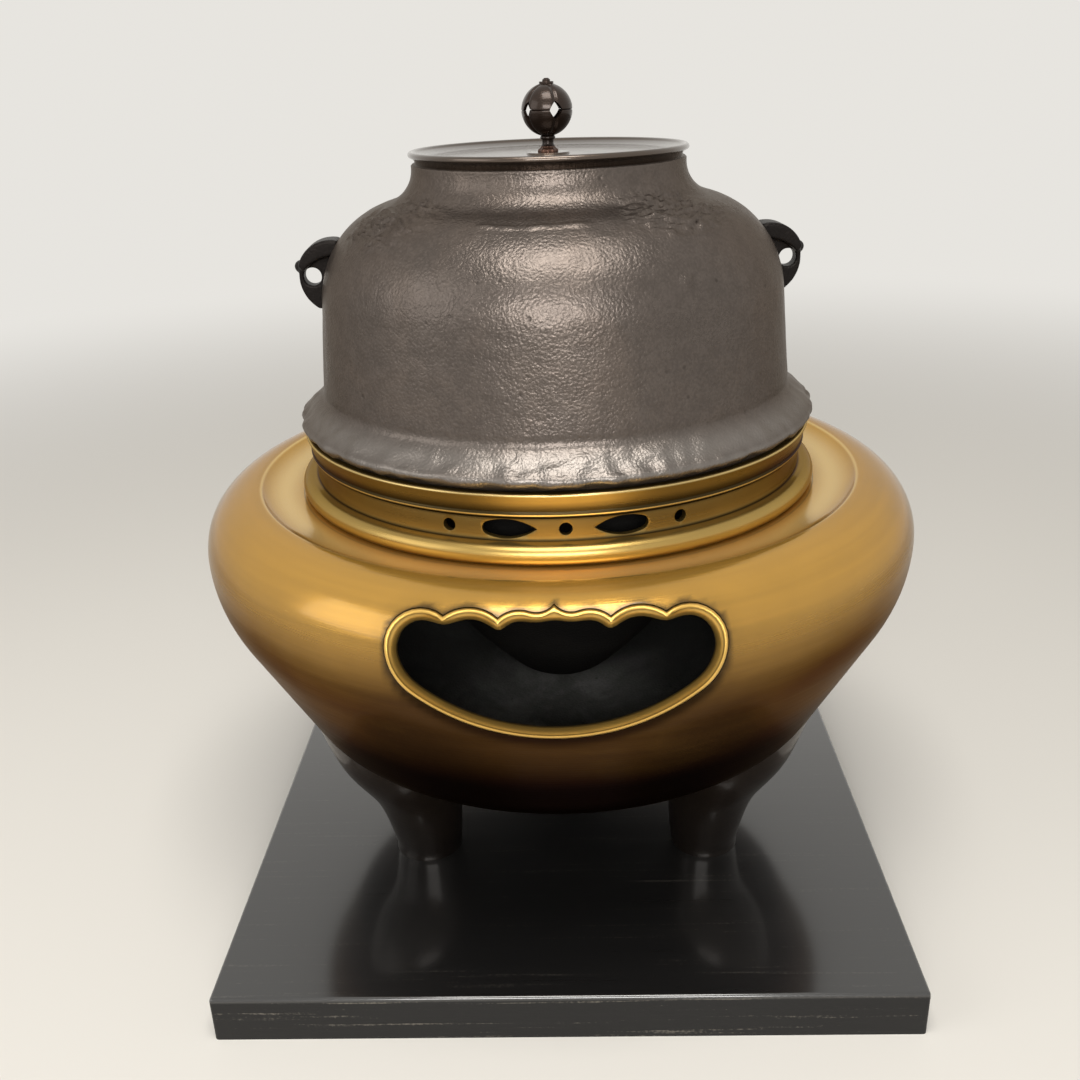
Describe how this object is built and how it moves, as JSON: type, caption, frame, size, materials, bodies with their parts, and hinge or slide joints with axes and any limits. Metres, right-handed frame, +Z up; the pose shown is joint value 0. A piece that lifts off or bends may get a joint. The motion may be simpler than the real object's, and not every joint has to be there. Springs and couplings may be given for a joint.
{
  "type": "tea ceremony brazier with kettle",
  "caption": "Round footed bronze brazier with a scalloped fire window and vented collar, an iron kettle hanging in it by its skirt, and a flat lid with a ball knob, on a square lacquered board.",
  "frame": {"origin": "on the axis of the brazier and kettle, at the underside of the board, which is the middle of that face", "axes": "+Z up along the axis of the brazier, -Y towards the side with the fire window, +X to the right seen from that side"},
  "size_m": [0.314, 0.311, 0.3582],
  "materials": {
    "black_lacquer": "black lacquer over wood, satin, with fine grain",
    "bowl_bronze": "cast bronze with brown patina, hand-rubbed, satin",
    "collar_bronze": "turned bronze with brown patina and worn bright edges",
    "window_bronze": "bright worn bronze",
    "foot_bronze": "cast bronze with dark brown patina, satin",
    "kettle_iron": "pebbled cast iron, satin dark brown",
    "bottom_iron": "sooty cast iron, matt black",
    "lug_iron": "smooth cast iron, satin black",
    "lid_bronze": "dark brown patinated bronze with a warm sheen",
    "seat_copper": "reddish copper, worn",
    "knob_bronze": "dark bronze, worn bright on the lobes"
  },
  "bodies": {
    "board": {"board": "black_lacquer"},
    "brazier": {"brazier_bowl": "bowl_bronze", "brazier_shoulder": "bowl_bronze", "brazier_collar": "collar_bronze", "fire_window_rim": "window_bronze", "foot_front_left": "foot_bronze", "foot_front_right": "foot_bronze", "foot_rear": "foot_bronze"},
    "kettle": {"kettle_body": "kettle_iron", "kettle_bottom": "bottom_iron", "singing_irons": "bottom_iron", "lug_left": "lug_iron", "lug_right": "lug_iron"},
    "lid": {"lid_plate": "lid_bronze", "lid_clench_washer": "lid_bronze", "knob_base_disc": "lid_bronze", "knob_seat": "seat_copper", "knob_neck": "knob_bronze", "knob_lower_cup": "knob_bronze", "knob_upper_cup": "knob_bronze", "knob_washer": "knob_bronze", "knob_pin": "knob_bronze"}
  },
  "joints": [
    {"name": "brazier_lift", "type": "slide", "parent": "board", "child": "brazier", "axis": [0, 0, 1], "range_m": [0, 0.08]},
    {"name": "kettle_lift", "type": "slide", "parent": "brazier", "child": "kettle", "axis": [0, 0, 1], "range_m": [0, 0.16]},
    {"name": "lid_lift", "type": "slide", "parent": "kettle", "child": "lid", "axis": [0, 0, 1], "range_m": [0, 0.06]}
  ]
}
